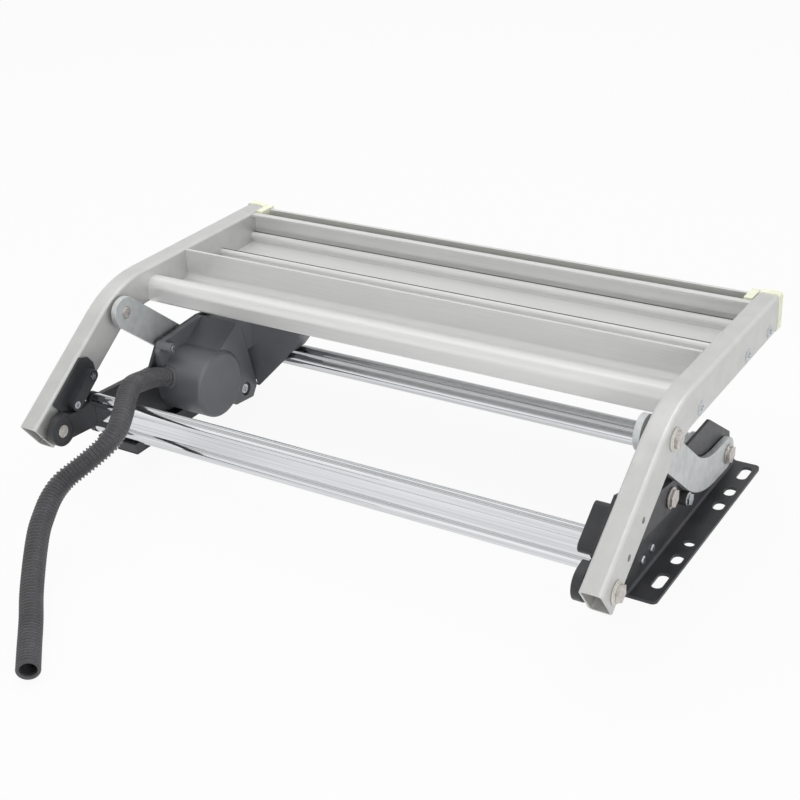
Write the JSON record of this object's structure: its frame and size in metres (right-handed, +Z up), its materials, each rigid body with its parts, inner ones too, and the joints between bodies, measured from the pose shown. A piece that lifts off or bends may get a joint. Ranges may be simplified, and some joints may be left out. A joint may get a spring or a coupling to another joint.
{
  "type": "caravan pull out step",
  "caption": "Powered folding entrance step: aluminium tread between bent arms, carried by four links on slotted side brackets, turned by an enclosed gearmotor with a ribbed cable conduit.",
  "frame": {"origin": "middle of the stowed step's box at the underside of the mounting flanges, conduit left out", "axes": "+X along the tread away from the motor, +Y out towards the tread's nose, +Z up as it lies here"},
  "size_m": [0.6004, 0.5874, 0.176],
  "materials": {
    "anodised": "satin silver anodised extrusion",
    "polished_rail": "mirror polished",
    "zinc_plate": "dull zinc plated",
    "powder_coat": "satin black powder coat",
    "housing_plastic": "fine moulded grain",
    "nylon": "plain cream nylon",
    "fastener_steel": "plain steel, lightly dulled",
    "rubber": "matte",
    "conduit": "ribbed, slightly shiny",
    "gear_brass": "cut teeth, plain",
    "motor_can": "drawn steel can",
    "circuit_board": "solder mask green"
  },
  "bodies": {
    "base": {"left_bracket": "powder_coat", "right_bracket": "powder_coat", "rear_rail": "polished_rail", "rear_rail_ends": "zinc_plate", "rear_rail_dowels": "fastener_steel", "left_rail_rest": "housing_plastic", "right_rail_rest": "housing_plastic", "rest_screws": "fastener_steel", "stow_stop_bolts": "zinc_plate", "stow_stop_bushes": "rubber", "upper_pivot_bolts": "fastener_steel", "lower_pivot_bolt": "fastener_steel", "wall_washers": "nylon", "motor_plate": "powder_coat", "motor_housing": "housing_plastic", "rear_fairing": "housing_plastic", "housing_screws": "fastener_steel", "gearmotor": "motor_can", "control_unit": "circuit_board", "output_bush": "nylon", "conduit_gland": "conduit", "conduit": "conduit"},
    "lower_links": {"left_lower_link": "powder_coat", "right_lower_link": "powder_coat", "front_rail": "polished_rail", "front_rail_screws": "fastener_steel", "left_pivot_cap": "housing_plastic", "right_pivot_cap": "housing_plastic", "output_shaft": "fastener_steel", "drive_gear": "gear_brass"},
    "pinion": {"pinion": "gear_brass"},
    "upper_links": {"left_upper_link": "zinc_plate", "right_upper_link": "zinc_plate", "link_stubs": "fastener_steel"},
    "tread_frame": {"left_arm": "anodised", "right_arm": "anodised", "front_plank": "anodised", "rear_plank": "anodised", "nose_strip": "rubber", "left_end_cap": "nylon", "right_end_cap": "nylon", "left_stop_block": "housing_plastic", "right_stop_block": "housing_plastic", "stop_screws": "fastener_steel", "tread_screws": "fastener_steel", "lower_arm_bolts": "fastener_steel", "upper_arm_bolts": "fastener_steel", "arm_washers": "nylon", "arm_spacers": "nylon"}
  },
  "joints": [
    {"name": "lower_link_swing", "type": "hinge", "parent": "base", "child": "lower_links", "pos_m": [0, -0.002, 0.058], "axis": [-1, 0, 0], "range_deg": [0, 139.28], "deforming": ["conduit"]},
    {"name": "tread_level", "type": "hinge", "parent": "lower_links", "child": "tread_frame", "pos_m": [0, -0.163, 0.069], "axis": [-1, 0, 0], "range_deg": [-139.28, 0]},
    {"name": "upper_link_swing", "type": "hinge", "parent": "base", "child": "upper_links", "pos_m": [0, 0.135, 0.031], "axis": [-1, 0, 0], "range_deg": [0, 84.83]},
    {"name": "pinion_spin", "type": "hinge", "parent": "base", "child": "pinion", "pos_m": [0, 0.02887, 0.07729], "axis": [-1, 0, 0], "range_deg": [-417.84, 0]}
  ],
  "couplings": [
    {"joint": "tread_level", "follows": "lower_link_swing", "ratio": -1},
    {"joint": "upper_link_swing", "follows": "lower_link_swing", "ratio": 0.609},
    {"joint": "pinion_spin", "follows": "lower_link_swing", "ratio": -3}
  ]
}
